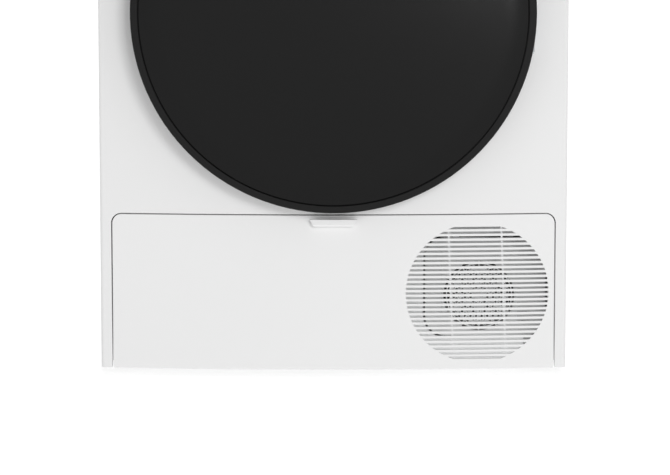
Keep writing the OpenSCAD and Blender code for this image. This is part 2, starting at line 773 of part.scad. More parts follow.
// Bracket on the front panel that carries the door: plate, two lugs and the pin
module door_hinge_bracket() {
    plate_y = bow_y(plate_x) - fit;
    color("silver") {
        box(plate_x, hinge_x + 7, y_apex + 3, plate_y, drum_z - 58, drum_z + 58);
        for (s = [-1, 1]) {
            z = s > 0 ? drum_z + lug_in : drum_z - lug_out;
            translate([hinge_x, hinge_y, z]) cylinder(r = knuckle_r, h = lug_out - lug_in);
            box(hinge_x - 3, hinge_x + 3, hinge_y, y_apex + 4, z, z + lug_out - lug_in);
        }
        translate([hinge_x, hinge_y, drum_z - lug_out - 3])
            cylinder(r = pin_r, h = 2 * lug_out + 6);
    }
}

// Knuckle and plate on the door that turn on the hinge pin
module door_hinge_arm() {
    color("silver") difference() {
        union() {
            translate([hinge_x, hinge_y, drum_z - arm_half]) cylinder(r = knuckle_r, h = 2 * arm_half);
            box(arm_x, hinge_x - 2, door_back - door_shell_t - 6, door_back - door_shell_t, drum_z - arm_half,
                drum_z + arm_half);
        }
        translate([hinge_x, hinge_y, drum_z - arm_half - 1])
            cylinder(r = pin_r + fit, h = 2 * arm_half + 2);
    }
}

// Moulded ring of the door: rim, ledge for the glass, back wall and handle pocket
module door_frame() {
    ring_t = 6;
    y_ledge = y_door + 0.5 + glass_t;
    color([0.18, 0.18, 0.18]) difference() {
        union() {
            tube_y(door_r, door_r - door_shell_t, y_door, door_back, 0, drum_z);
            tube_y(door_r, glass_r + groove_w, y_door, y_door + ring_t, 0, drum_z);
            tube_y(door_r, glass_r - 9, y_ledge, y_ledge + 3, 0, drum_z);
            tube_y(door_r, bowl_r + 0.3, door_back - 3, door_back, 0, drum_z);
            tube_y(bowl_r + 6, bowl_r + 3, y_ledge + 3, door_back, 0, drum_z);
            intersection() {
                bar_y(door_r - 1, y_ledge, door_back, 0, drum_z);
                box(-door_r, -door_r + 34, y_ledge, door_back, drum_z - 56, drum_z + 56);
            }
        }
        box(-door_r - 1, -door_r + 30, y_ledge + 6, door_back - 3, drum_z - 52, drum_z + 52);
        box(hinge_x - 12, door_r + 1, y_door + 12, door_back + 1, drum_z - hinge_cut,
            drum_z + hinge_cut);
    }
}

// Flat tinted glass of the door
module door_glass() {
    color([0.14, 0.14, 0.14]) bar_y(glass_r, y_door + 0.5, y_door + 0.5 + glass_t, 0, drum_z);
}

// Pressed glass bowl that holds the laundry back
module door_bowl() {
    color("darkslategray") translate([0, door_back, drum_z]) rotate([-90, 0, 0]) rotate_extrude() {
        polygon([[bowl_r - 5, -2.8], [bowl_r, -2.8], [bowl_r, 4], [bowl_r - 12, 48], [bowl_r - 24, 54],
            [0, 60], [0, 56], [bowl_r - 26, 50], [bowl_r - 17, 45.5], [bowl_r - 5, 2]]);
    }
}

// Rubber ring on the back of the door
module door_seal() {
    color("black") tube_y(mouth_r - 2, throat_r - 4, door_back, throat_y - roll_gap, 0, drum_z);
}

// Steel hook of the door latch
module door_hook() {
    color("silver") {
        box(hook_x - hook_w / 2, hook_x + hook_w / 2, door_back, door_back + 24,
            drum_z - hook_h / 2, drum_z + hook_h / 2);
        box(hook_x - hook_w / 2, hook_x + 7, door_back + 18, door_back + 24,
            drum_z - hook_h / 2, drum_z + hook_h / 2);
    }
}

// Catch behind the front panel that the hook snaps into
module door_catch() {
    color("dimgray") difference() {
        box(hook_x - slot_half_w - 1.4, hook_x + slot_half_w + 1.4, y_apex + 11, y_apex + 40,
            drum_z - 26, drum_z + 26);
        box(hook_x - slot_half_w + 0.5, hook_x + slot_half_w - 0.5, y_apex + 10, y_apex + 34,
            drum_z - 13, drum_z + 13);
    }
}

// Drum shell with its rolled front lip
module drum_shell() {
    color("silver") {
        tube_y(drum_r, drum_r - drum_t, drum_y0, drum_y1, 0, drum_z);
        tube_y(drum_r - drum_t, drum_lip_r, drum_y0, drum_y0 + 2, 0, drum_z);
    }
}

// Rear wall of the drum: air holes, stiffening spider and the shaft
module drum_rear_wall() {
    color("silver") {
        difference() {
            bar_y(drum_r - drum_t, drum_y1 - 2, drum_y1, 0, drum_z);
            for (r = [110, 145], k = [0:23]) translate([0, 0, drum_z]) rotate([0, k * 15, 0])
                bar_y(6, drum_y1 - 3, drum_y1 + 1, r, 0);
        }
        bar_y(60, drum_y1, drum_y1 + 4, 0, drum_z);
        bar_y(shaft_r, drum_y1, rear_in - 2, 0, drum_z);
    }
}

// Three lifters inside the drum
module drum_lifters() {
    color("gray") for (a = [0:120:240]) along_y(drum_y0 + 22, drum_y1 - 14) translate([0, drum_z])
        intersection() {
            circle(drum_r - drum_t);
            rotate(a + 90) polygon([[drum_r + 20, -45], [drum_r + 20, 45], [drum_r - 34, 14],
                [drum_r - 50, 7], [drum_r - 54, 0], [drum_r - 50, -7], [drum_r - 34, -14]]);
        }
}

// Motor shaft with the rotor core and the belt pulley
module motor_rotor() {
    color("darkgray") {
        bar_y(motor_shaft_r, belt_y - 9, blower_y0 + 34, motor_x, motor_z);
        bar_y(rotor_r, motor_y0 + 22, motor_y1 - 22, motor_x, motor_z);
        bar_y(pulley_r, belt_y - 8, belt_y + 8, motor_x, motor_z);
    }
}

// Radial blower wheel on the rear end of the motor shaft
module blower_wheel() {
    y0 = blower_y0 + 6;
    color("black") {
        tube_y(blower_r - 14, motor_shaft_r, y0 + 30, y0 + 33, motor_x, motor_z);
        tube_y(14, motor_shaft_r, y0 + 8, y0 + 30, motor_x, motor_z);
        tube_y(blower_r - 14, 46, y0, y0 + 2, motor_x, motor_z);
        for (k = [0:17]) translate([motor_x, 0, motor_z]) rotate([0, k * 20, 0])
            box(50, blower_r - 15, y0 + 2, y0 + 30, -1, 1);
    }
}

// Tensioner: arm on its pivot, with the axle of the pulley, and its post on the motor
module idler_arm() {
    y0 = belt_y + 9;
    color("silver") {
        along_y(y0, y0 + idler_plate_t) difference() {
            hull() for (p = [[idler_x, idler_z], [idler_pivot_x, idler_pivot_z]])
                translate(p) circle(idler_pin_r + 5);
            translate([idler_pivot_x, idler_pivot_z]) circle(idler_pin_r + fit);
        }
        bar_y(idler_pin_r, belt_y - 10, y0, idler_x, idler_z);
    }
}
module idler_pulley() {
    color("white") difference() {
        bar_y(idler_r, belt_y - 8, belt_y + 8, idler_x, idler_z);
        bar_y(idler_pin_r + fit, belt_y - 9, belt_y + 9, idler_x, idler_z);
    }
}

// Front support rollers
module front_roller(s) {
    x = s * roller_pitch * sin(roller_angle);
    z = drum_z - roller_pitch * cos(roller_angle);
    color("ivory") tube_y(roller_r, axle_r + fit, drum_y0 + 8, drum_y0 + 28, x, z);
}
module front_roller_left() { front_roller(-1); }
module front_roller_right() { front_roller(1); }

// Lint filter: flat open frame with two mesh faces and a grip bar
module lint_filter() {
    top = drum_z - throat_r - 4;
    color("white") {
        difference() {
            box(-filt_w / 2, filt_w / 2, filt_y - filt_t / 2, filt_y + filt_t / 2, filt_z0, top);
            box(-filt_w / 2 + 4, filt_w / 2 - 4, filt_y - filt_t / 2 + 2, filt_y + filt_t / 2 - 2,
                filt_z0 + 4, top + 1);
        }
        for (s = [-1, 1]) box(s * 62 - 4, s * 62 + 4, filt_y - filt_t / 2, filt_y + filt_t / 2,
            top - 10, top + 10);
        box(-66, 66, filt_y - 3, filt_y + 3, top + 4, top + 10);
    }
}

// Service flap over the machinery: bowed skin, rim, grille, pull tab and hinge pins
module kick_grille() {
    z0 = grille_z - (slot_n - 1) / 2 * slot_pitch;
    intersection() {
        translate([grille_x, grille_z]) circle(grille_r);
        for (k = [0:slot_n - 1]) translate([grille_x - grille_r, z0 + k * slot_pitch - slot_h / 2])
            square([2 * grille_r, slot_h]);
    }
}
module kick_panel() {
    y1 = y_corner + 6;
    tz0 = kick_top - tab_h;
    color("whitesmoke") {
        difference() {
            union() {
                difference() {
                    intersection() {
                        bow_solid(0, kick_bottom, kick_top + 5, y1, -half_w, half_w);
                        along_y(y_apex - 2, y1 + 1) kick_outline(0);
                    }
                    intersection() {
                        bow_solid(kick_t, kick_bottom - 1, kick_top + 5, y1 + 1, -half_w, half_w);
                        along_y(y_apex - 2, y1 + 2) kick_outline(-kick_t);
                    }
                }
                intersection() {
                    along_y(y_apex - tab_out, y_apex + 1) polygon([[-tab_w / 2, kick_top - 3.5],
                        [tab_w / 2, kick_top - 3.5], [tab_w / 2 - tab_slope, tz0], [tab_slope - tab_w / 2, tz0]]);
                    along_x(-tab_w, tab_w) polygon([[y_apex - tab_out, kick_top - 3.5],
                        [y_apex - tab_out + 2.5, kick_top - 3.5], [y_apex - tab_out + 4, kick_top - 9],
                        [y_apex + 1, kick_top - 10.5], [y_apex + 1, tz0], [y_apex - tab_out + 2, tz0],
                        [y_apex - tab_out, tz0 + 3]]);
                }
            }
            along_y(y_apex - 2, y_apex + 20) kick_grille();
        }
        for (s = [-1, 1]) intersection() {
            bow_solid(kick_t - 0.6, kick_bottom, kick_top, y_apex + 13, -kick_x, kick_x);
            along_y(y_apex - 2, y_apex + 13) translate([grille_x + s * rib_x, grille_z])
                polygon([[-rib_lean - rib_w / 2, 86], [-rib_lean + rib_w / 2, 86],
                    [rib_lean + rib_w / 2, -86], [rib_lean - rib_w / 2, -86]]);
        }
        for (s = [-1, 1]) {
            x0 = s * (kick_lug_x + 8) - 2;
            intersection() {
                bow_solid(1, kick_bottom, kick_top, kick_y + 9, -kick_x, kick_x);
                box(x0, x0 + 4, y_apex, kick_y + 9, kick_z - 8, kick_z + 8);
            }
            bar_x(kick_pin_r, s * kick_lug_x - 7, s * kick_lug_x + 7, kick_y, kick_z);
        }
    }
}

// Programme knob with its shaft
module programme_knob() {
    color("gainsboro") {
        bar_y(knob_r, y_apex - 20, y_apex - 1, 0, knob_z);
        bar_y(knob_shaft_r, y_apex - 1, board_y - 2, 0, knob_z);
    }
}

// Round push buttons
module push_button(s) {
    color("gainsboro") bar_y(button_r, y_apex - 2, board_y - switch_h - 1.5 - button_travel,
        s * button_x, knob_z);
}
module power_button() { push_button(-1); }
module start_button() { push_button(1); }

// Levelling feet: rubber pad and threaded stud
module levelling_foot(x, y) {
    color("black") translate([x, y, 0]) {
        cylinder(r = foot_r, h = foot_h);
        cylinder(r = stud_r, h = foot_h + foot_travel + 10);
    }
}
module foot_front_left() { levelling_foot(-foot_x, foot_y0); }
module foot_front_right() { levelling_foot(foot_x, foot_y0); }
module foot_rear_left() { levelling_foot(-foot_x, foot_y1); }
module foot_rear_right() { levelling_foot(foot_x, foot_y1); }

// Sheet-metal screws of the rear panel
module cabinet_screws() {
    color("silver") for (z = screw_z, s = [-1, 1]) {
        bar_y(screw_head_r, y_rear, y_rear + 2, s * screw_x, z);
        bar_y(screw_r, rear_in, y_rear, s * screw_x, z);
    }
}

// Gland where the mains lead would enter
module cord_gland() {
    color("black") difference() {
        union() {
            bar_y(gland_r + 10, y_rear, y_rear + 3, gland_x, outlet_z);
            bar_y(gland_r + 5, y_rear, y_rear + 16, gland_x, outlet_z);
        }
        bar_y(gland_r, y_rear - 1, y_rear + 17, gland_x, outlet_z);
    }
}

// Spigot for a drain hose
module drain_spigot() {
    color("dimgray") difference() {
        union() {
            bar_y(spigot_r + 6, y_rear, y_rear + 3, spigot_x, outlet_z);
            bar_y(spigot_r, y_rear, y_rear + 25, spigot_x, outlet_z);
        }
        bar_y(spigot_r - 2, y_rear + 2, y_rear + 26, spigot_x, outlet_z);
    }
}

base_tray();
side_panel_left();
side_panel_right();
front_panel();
rear_panel();
top_panel();
rear_duct_cover();
control_fascia();
display_window();
control_board();
front_bulkhead();
felt_seals();
moisture_bars();
rear_bearing();
drum_belt();
motor_housing();
blower_housing();
heat_exchangers();
tunnel_cover();
service_bulkhead();
exchanger_door();
compressor();
refrigerant_pipes();
fan_shroud();
fan_motor();
condensate_pump();
condensate_hose();
tank_tray();
door_hinge_bracket();
door_catch();
cabinet_screws();
cord_gland();
drain_spigot();
door_frame();
door_glass();
door_bowl();
door_seal();
door_hinge_arm();
door_hook();
drum_shell();
drum_rear_wall();
drum_lifters();
motor_rotor();
blower_wheel();
idler_arm();
idler_pulley();
front_roller_left();
front_roller_right();
cooling_fan();
water_tank();
tank_front();
lint_filter();
kick_panel();
programme_knob();
power_button();
start_button();
foot_front_left();
foot_front_right();
foot_rear_left();
foot_rear_right();
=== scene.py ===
import json
import math

import bmesh
import bpy
from mathutils import Matrix, Vector


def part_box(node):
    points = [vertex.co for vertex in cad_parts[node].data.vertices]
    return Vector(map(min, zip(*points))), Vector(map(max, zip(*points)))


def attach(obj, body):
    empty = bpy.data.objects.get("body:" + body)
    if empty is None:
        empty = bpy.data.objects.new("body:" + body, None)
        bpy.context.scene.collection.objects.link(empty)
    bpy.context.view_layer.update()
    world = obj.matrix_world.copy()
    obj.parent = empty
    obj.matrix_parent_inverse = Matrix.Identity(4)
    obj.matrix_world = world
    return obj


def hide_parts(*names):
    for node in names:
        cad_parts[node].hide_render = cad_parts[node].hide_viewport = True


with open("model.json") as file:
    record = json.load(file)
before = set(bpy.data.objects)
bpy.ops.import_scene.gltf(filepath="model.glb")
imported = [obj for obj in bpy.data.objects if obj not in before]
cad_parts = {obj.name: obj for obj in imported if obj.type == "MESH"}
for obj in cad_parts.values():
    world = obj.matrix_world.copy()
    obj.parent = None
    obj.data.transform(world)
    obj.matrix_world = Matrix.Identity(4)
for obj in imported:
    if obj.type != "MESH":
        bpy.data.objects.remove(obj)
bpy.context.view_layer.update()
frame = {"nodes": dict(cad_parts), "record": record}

# ---------------------------------------------------------------------------
# Studio: a pale floor that glows evenly, an even white surround and four soft
# boxes: front, rear, one above the worktop and a small low one that faces the
# door. The camera stands six metres in front of the dryer, half a metre above
# its worktop, and looks down on its lower half through a long lens.
# ---------------------------------------------------------------------------
MM = 0.001
scene = bpy.context.scene
scene.view_settings.view_transform = "Standard"
scene.view_settings.look = "None"

FRONT_R = 3520 * MM
HALF_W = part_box("top_panel")[1].x
Y_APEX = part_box("front_panel")[0].y
Y_CORNER = Y_APEX + FRONT_R - math.sqrt(FRONT_R**2 - HALF_W**2)
CAMERA_X = 2 * MM
CAMERA_GAP = 6.0
CAMERA_Z = 1.402
CAMERA_TILT = 11.5
CAMERA_LENS = 255.7
SURROUND_LEVEL = 0.42
FLOOR_GLOW = 0.8

camera = bpy.data.objects.new("camera", bpy.data.cameras.new("camera"))
scene.collection.objects.link(camera)
camera.data.sensor_width = 36
camera.data.lens = CAMERA_LENS
camera.data.clip_start, camera.data.clip_end = 0.1, 60
camera.location = (CAMERA_X, Y_CORNER - CAMERA_GAP, CAMERA_Z)
camera.rotation_euler = (math.radians(90 - CAMERA_TILT), 0, 0)
scene.camera = camera


def srgb(code, alpha=1.0):
    """A hex colour code as linear red, green, blue and alpha."""
    parts = [int(code[i:i + 2], 16) / 255 for i in (1, 3, 5)]
    linear = [c / 12.92 if c <= 0.04045 else ((c + 0.055) / 1.055) ** 2.4 for c in parts]
    return (*linear, alpha)


def add_node(tree, kind, settings=None, **links):
    """Adds a shader or geometry node. settings fill sockets or properties; links join named sockets."""
    node = tree.nodes.new(kind)
    for key, value in (settings or {}).items():
        if isinstance(key, str) and hasattr(node, key):
            setattr(node, key, value)
        else:
            node.inputs[key].default_value = value
    for key, source in links.items():
        name = key.replace("_", " ")
        tree.links.new(source, node.inputs[int(key[1:]) if key[0] == "i" and key[1:].isdigit() else name])
    return node


def soft_box(name, place, aim, size, watts):
    """A rectangular soft box at a place, facing an aim. Lengths are in metres."""
    light = bpy.data.lights.new(name, "AREA")
    light.shape = "RECTANGLE"
    light.size, light.size_y = size
    light.energy = watts
    lamp = bpy.data.objects.new(name, light)
    scene.collection.objects.link(lamp)
    lamp.location = place
    lamp.rotation_euler = (Vector(aim) - Vector(place)).to_track_quat("-Z", "Y").to_euler()
    return lamp


world = bpy.data.worlds.new("surround")
scene.world = world
world.use_nodes = True
world.node_tree.nodes["Background"].inputs["Color"].default_value = srgb("#FFFFFF")
world.node_tree.nodes["Background"].inputs["Strength"].default_value = SURROUND_LEVEL
soft_box("front", (1.5, -6.2, 2.5), (0, 0, 0.4), (1.8, 1.4), 138)
soft_box("rear", (0.8, 6.4, 2.4), (0, 0, 0.4), (2.6, 2.0), 110)
soft_box("top", (0, 0.8, 3.0), (0, 0.1, 0.85), (1.6, 1.2), 22)
soft_box("sheen", (0.55, -4.6, 0.05), (0.25, -0.33, 0.62), (0.5, 0.3), 7)

floor_mesh = bpy.data.meshes.new("floor")
floor_mesh.from_pydata([(-9, -9, 0), (9, -9, 0), (9, 9, 0), (-9, 9, 0)], [], [(0, 1, 2, 3)])
floor = bpy.data.objects.new("floor", floor_mesh)
scene.collection.objects.link(floor)
paper = bpy.data.materials.new("white paper sweep")
paper.use_nodes = True
paper_shader = paper.node_tree.nodes["Principled BSDF"]
paper_shader.inputs["Base Color"].default_value = srgb("#A0A0A0")
paper_shader.inputs["Roughness"].default_value = 0.9
paper_shader.inputs["Emission Color"].default_value = srgb("#FFFFFF")
paper_shader.inputs["Emission Strength"].default_value = FLOOR_GLOW
floor.data.materials.append(paper)

# ---------------------------------------------------------------------------
# Side sheets: 1 mm galvanised steel, folded along the rear, top and bottom,
# then powder coated white. The coat levels out with a faint orange peel.
# ---------------------------------------------------------------------------
def textured(name, colour, roughness, metallic=0.0, grain=2.0, relief=0.02, tint=0.02,
             spread=0.04, stretch=(1, 1, 1), **sockets):
    """A finish with grain of a given size and relief, both in mm, and slight drift in tone and gloss."""
    material = bpy.data.materials.new(name)
    material.use_nodes = True
    tree = material.node_tree
    shader = tree.nodes["Principled BSDF"]
    shader.inputs["Metallic"].default_value = metallic
    for socket, value in sockets.items():
        shader.inputs[socket.replace("_", " ")].default_value = value
    place = add_node(tree, "ShaderNodeTexCoord").outputs["Object"]
    place = add_node(tree, "ShaderNodeMapping", {"Scale": stretch}, Vector=place).outputs["Vector"]
    fine = add_node(tree, "ShaderNodeTexNoise", {"Scale": 1 / (grain * MM), "Detail": 2.0}, Vector=place)
    broad = add_node(tree, "ShaderNodeTexNoise", {"Scale": 6.0, "Detail": 3.0}, Vector=place)
    dark = tuple(c * (1 - tint) for c in srgb(colour)[:3]) + (1,)
    tone = add_node(tree, "ShaderNodeMix", {"data_type": "RGBA", 6: dark, 7: srgb(colour)},
                    i0=broad.outputs["Fac"])
    gloss = add_node(tree, "ShaderNodeMapRange", {"To Min": roughness - spread, "To Max": roughness + spread},
                     Value=fine.outputs["Fac"])
    bump = add_node(tree, "ShaderNodeBump", {"Strength": 1.0, "Distance": relief * MM},
                    Height=fine.outputs["Fac"])
    tree.links.new(tone.outputs[2], shader.inputs["Base Color"])
    tree.links.new(gloss.outputs["Result"], shader.inputs["Roughness"])
    tree.links.new(bump.outputs["Normal"], shader.inputs["Normal"])
    return material


def piece_from(name, mesh, body, material, record_slot, *nodes):
    """Puts a finished mesh in the scene: its material, the body it rides on and the nodes it stands for."""
    piece = bpy.data.objects.new(name, mesh)
    scene.collection.objects.link(piece)
    mesh.materials.clear()
    mesh.materials.append(material)
    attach(piece, body)
    if nodes:
        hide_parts(*nodes)
    return piece


def smooth(mesh, angle=38):
    """Shades a mesh smooth; edges that turn by more than angle, in degrees, stay sharp."""
    mesh.shade_smooth()
    mesh.set_sharp_from_angle(angle=math.radians(angle))


def bevel(work, edges, width, segments):
    """Rounds the given edges by a width in mm."""
    bmesh.ops.bevel(work, geom=edges, offset=width * MM, segments=segments, profile=0.5,
                    affect="EDGES", clamp_overlap=True, miter_outer="ARC")


def mesh_from(work, name):
    """Turns a finished bmesh into a mesh and frees it."""
    mesh = bpy.data.meshes.new(name)
    work.to_mesh(mesh)
    work.free()
    return mesh


CORNER_RADIANS = 0.5
WELD_DISTANCE = 1e-6
FLAT_DEGREES = 0.3


def round_edges(work, chosen, width, segments=3):
    """Rounds the corners that pass a test on the edge's middle point, in mm, and its direction."""
    edges = []
    for e in work.edges:
        a, b = (v.co / MM for v in e.verts)
        is_corner = len(e.link_faces) == 2 and e.calc_face_angle(0) > CORNER_RADIANS
        if is_corner and chosen((a + b) / 2, (b - a).normalized()):
            edges.append(e)
    bevel(work, edges, width, segments)


def node_mesh(node, edge=0.4, segments=2, limit=28, rounds=(), merge=True):
    """A welded copy of a CAD node's mesh. rounds are larger radii on chosen edges; every other
    sharp edge is broken by edge, in mm. merge joins neighbouring faces that lie in one plane."""
    mesh = frame["nodes"][node].data.copy()
    work = bmesh.new()
    work.from_mesh(mesh)
    bmesh.ops.remove_doubles(work, verts=work.verts, dist=WELD_DISTANCE)
    if merge:
        bmesh.ops.dissolve_limit(work, angle_limit=math.radians(FLAT_DEGREES), verts=work.verts,
                                 edges=work.edges)
    for chosen, width, steps in rounds:
        round_edges(work, chosen, width, steps)
    if edge:
        sharp = [e for e in work.edges if len(e.link_faces) == 2
                 and e.calc_face_angle(0) > math.radians(limit)]
        bevel(work, sharp, edge, segments)
    work.to_mesh(mesh)
    work.free()
    smooth(mesh)
    return mesh


BODY_OF = {n: b for b, members in frame["record"]["behaviour"]["bodies"].items() for n in members}
SLOT_OF = {s["node"]: s["material_slot"] for s in frame["record"]["subparts"]}


def finish_node(node, material, edge=0.4, segments=2, limit=28, rounds=(), merge=True):
    """Replaces a CAD node by its own shape with rounded edges and a real finish."""
    mesh = node_mesh(node, edge, segments, limit, rounds, merge)
    piece = piece_from("fine_" + node, mesh, BODY_OF[node], material, SLOT_OF[node], node)
    even = piece.modifiers.new("even shading", "WEIGHTED_NORMAL")
    even.keep_sharp = True
    return piece


white_coat = textured("powder-coated steel, white", "#E5E5E5", 0.34, grain=1.6, relief=0.006, tint=0.015)
for side in ("left", "right"):
    finish_node("side_panel_" + side, white_coat, edge=0.45)


# ---------------------------------------------------------------------------
# Front panel: one steel pressing, bowed in plan, folded back round the corners
# and coated with the sides. The door's mouth and the flap's notch are punched.
# ---------------------------------------------------------------------------
def upright(direction):
    return abs(direction.z) > 0.99


def on_bow(x):
    """Y of the bowed front, in mm, at x mm from the middle."""
    return Y_APEX / MM + FRONT_R / MM - math.sqrt((FRONT_R / MM) ** 2 - x**2)


finish_node("front_panel", white_coat, edge=0.3, rounds=[
    (lambda p, d: upright(d) and abs(p.x) > HALF_W / MM - 0.2 and p.y < Y_CORNER / MM + 1, 4.0, 5),
    (lambda p, d: upright(d) and abs(p.x) > HALF_W / MM - 1.3 and p.y < Y_CORNER / MM + 3, 3.0, 5),
])

# ---------------------------------------------------------------------------
# Service flap: injection-moulded ABS in the same white, satin. Its outer edges
# are softly rounded; the grille and the pull tab are moulded in one with it.
# ---------------------------------------------------------------------------
flap_low, flap_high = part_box("kick_panel")
white_abs = textured("ABS, moulded satin white", "#E6E6E6", 0.38, grain=0.8, relief=0.008, tint=0.012)
FLAP_FOOT_R = 2.6
TAB_CORNER_R = 3.6
TAB_HALF_W = 40
TAB_DROP = 9
finish_node("kick_panel", white_abs, edge=0.35, rounds=[
    (lambda p, d: abs(p.z - flap_low.z / MM) < 0.2 and p.y < Y_CORNER / MM - 0.4 and abs(d.x) > 0.9
     and p.y < on_bow(p.x) + 0.8, FLAP_FOOT_R, 4),
    (lambda p, d: abs(d.y) > 0.6 and p.y < Y_APEX / MM + 2 and abs(p.x) < TAB_HALF_W
     and p.z < flap_high.z / MM - TAB_DROP, TAB_CORNER_R, 5),
])

# ---------------------------------------------------------------------------
# Worktop: chipboard faced with white laminate, its bowed front edge wrapped and
# eased. It lies on the side sheets' top flanges.
# ---------------------------------------------------------------------------
laminate = textured("high-pressure laminate, white", "#ECECEA", 0.42, grain=0.7, relief=0.012, tint=0.02)
finish_node("top_panel", laminate, edge=1.6, segments=4)

# ---------------------------------------------------------------------------
# Control fascia and tank front: ABS mouldings in satin white that continue the
# bow of the panel. The tank front carries the finger pocket.
# ---------------------------------------------------------------------------
finish_node("control_fascia", white_abs, edge=0.5)
finish_node("tank_front", white_abs, edge=0.6, segments=3)

# ---------------------------------------------------------------------------
# Display window: smoked polycarbonate, pressed into the fascia. Glossy enough to
# show the room, dark enough to hide the board until it lights up.
# ---------------------------------------------------------------------------
smoked = textured("polycarbonate, smoked and polished", "#0B0B0C", 0.07, grain=6, relief=0.002, tint=0.2,
                  spread=0.01)
finish_node("display_window", smoked, edge=0.35)


# ---------------------------------------------------------------------------
# Programme knob and keys: turned-looking ABS mouldings. The knob has a fluted
# grip and an inlaid pointer; the fascia has a ring of printed programme dots.
# ---------------------------------------------------------------------------
def lathe(profile, x, z, steps=96, loop=False, flutes=None):
    """A body of revolution about a Y line through x, z. The profile lists (radius, y), all in mm.
    flutes = (count, depth, first, last) waves the radius between two heights."""
    work = bmesh.new()
    rings = []
    for radius, y in profile:
        if radius < 1e-6:
            rings.append([work.verts.new((x * MM, y * MM, z * MM))] * steps)
            continue
        ring = []
        for k in range(steps):
            turn = 2 * math.pi * k / steps
            r = radius
            if flutes and flutes[2] <= y <= flutes[3]:
                r -= flutes[1] * (0.5 - 0.5 * math.cos(flutes[0] * turn))
            ring.append(work.verts.new(((x + r * math.cos(turn)) * MM, y * MM,
                                        (z + r * math.sin(turn)) * MM)))
        rings.append(ring)
    pairs = list(zip(rings, rings[1:] + rings[:1] if loop else rings[1:]))
    for a, b in pairs:
        for k in range(steps):
            corners = [a[k], a[(k + 1) % steps], b[(k + 1) % steps], b[k]]
            work.faces.new([v for i, v in enumerate(corners) if v not in corners[:i]])
    bmesh.ops.recalc_face_normals(work, faces=work.faces)
    mesh = mesh_from(work, "turned")
    smooth(mesh, 30)
    return mesh


def arc(r_mid, y_mid, radius, start, end, steps=5):
    """Points of a round stretch of a profile, angles in degrees from +radius towards +y."""
    turns = [math.radians(start + (end - start) * k / steps) for k in range(steps + 1)]
    return [(r_mid + radius * math.cos(t), y_mid + radius * math.sin(t)) for t in turns]


knob_low, knob_high = (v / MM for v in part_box("programme_knob"))
knob_z = (knob_low.z + knob_high.z) / 2
knob_r = knob_high.x
face_y = knob_low.y
collar_y = Y_APEX / MM - 1
profile = [(0, face_y + 0.9), (knob_r - 7, face_y + 0.9), (knob_r - 5.5, face_y + 0.2)]
profile += arc(knob_r - 2.2, face_y + 2.4, 2.2, -90, 0)
profile += [(knob_r, face_y + 5), (knob_r - 0.2, collar_y - 2), (knob_r - 1.2, collar_y), (5, collar_y),
            (5, knob_high.y), (0, knob_high.y)]
grey_abs = textured("ABS, moulded light grey", "#D3D4D5", 0.36, grain=0.9, relief=0.01)
KNOB_FLUTES = 36
FLUTE_DEPTH = 0.7
flutes = (KNOB_FLUTES, FLUTE_DEPTH, face_y + 4, collar_y - 1)
piece_from("knob_body", lathe(profile, 0, knob_z, 216, flutes=flutes),
           "knob", grey_abs, "light_grey_plastic", "programme_knob")


def block(low, high, edge=0.5, segments=3):
    """A box with rounded edges, corners in mm."""
    work = bmesh.new()
    bmesh.ops.create_cube(work, size=1)
    span = [(b - a) * MM for a, b in zip(low, high)]
    middle = Vector([(a + b) / 2 * MM for a, b in zip(low, high)])
    for v in work.verts:
        v.co = Vector([c * s for c, s in zip(v.co, span)]) + middle
    bmesh.ops.bevel(work, geom=work.edges[:], offset=min([edge * MM] + [s * 0.45 for s in span]),
                    segments=segments, profile=0.5, affect="EDGES", clamp_overlap=True)
    mesh = mesh_from(work, "block")
    smooth(mesh)
    return mesh


pointer_ink = textured("pad-printed ink, graphite", "#2A2B2D", 0.5, grain=0.5, relief=0.002)
piece_from("knob_pointer", block((-0.8, face_y + 0.3, knob_z + 9), (0.8, face_y + 1.5, knob_z + 19.5), 0.3),
           "knob", pointer_ink, "dark_grey_plastic")

key_ring = textured("chrome-plated ABS ring", "#C9CBCE", 0.16, metallic=1.0, grain=8, relief=0.001,
                    spread=0.03)
for key, body in (("power_button", "power_key"), ("start_button", "start_key")):
    low, high = (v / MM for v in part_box(key))
    key_x, key_z, key_r = (low.x + high.x) / 2, (low.z + high.z) / 2, (high.x - low.x) / 2
    profile = [(0, low.y + 0.9), (key_r * 0.5, low.y + 0.6)] + arc(key_r - 1.2, low.y + 1.2, 1.2, -90, 0)
    profile += [(key_r, high.y - 0.5), (key_r - 0.5, high.y), (0, high.y)]
    piece_from("cap_" + key, lathe(profile, key_x, key_z, 64), body, grey_abs, "light_grey_plastic", key)
    groove = arc(key_r * 0.62, low.y + 0.62, 0.35, 0, 360, 8)[:-1]
    piece_from("ring_" + key, lathe(groove, key_x, key_z, 48, loop=True), body, key_ring, "bright_steel")


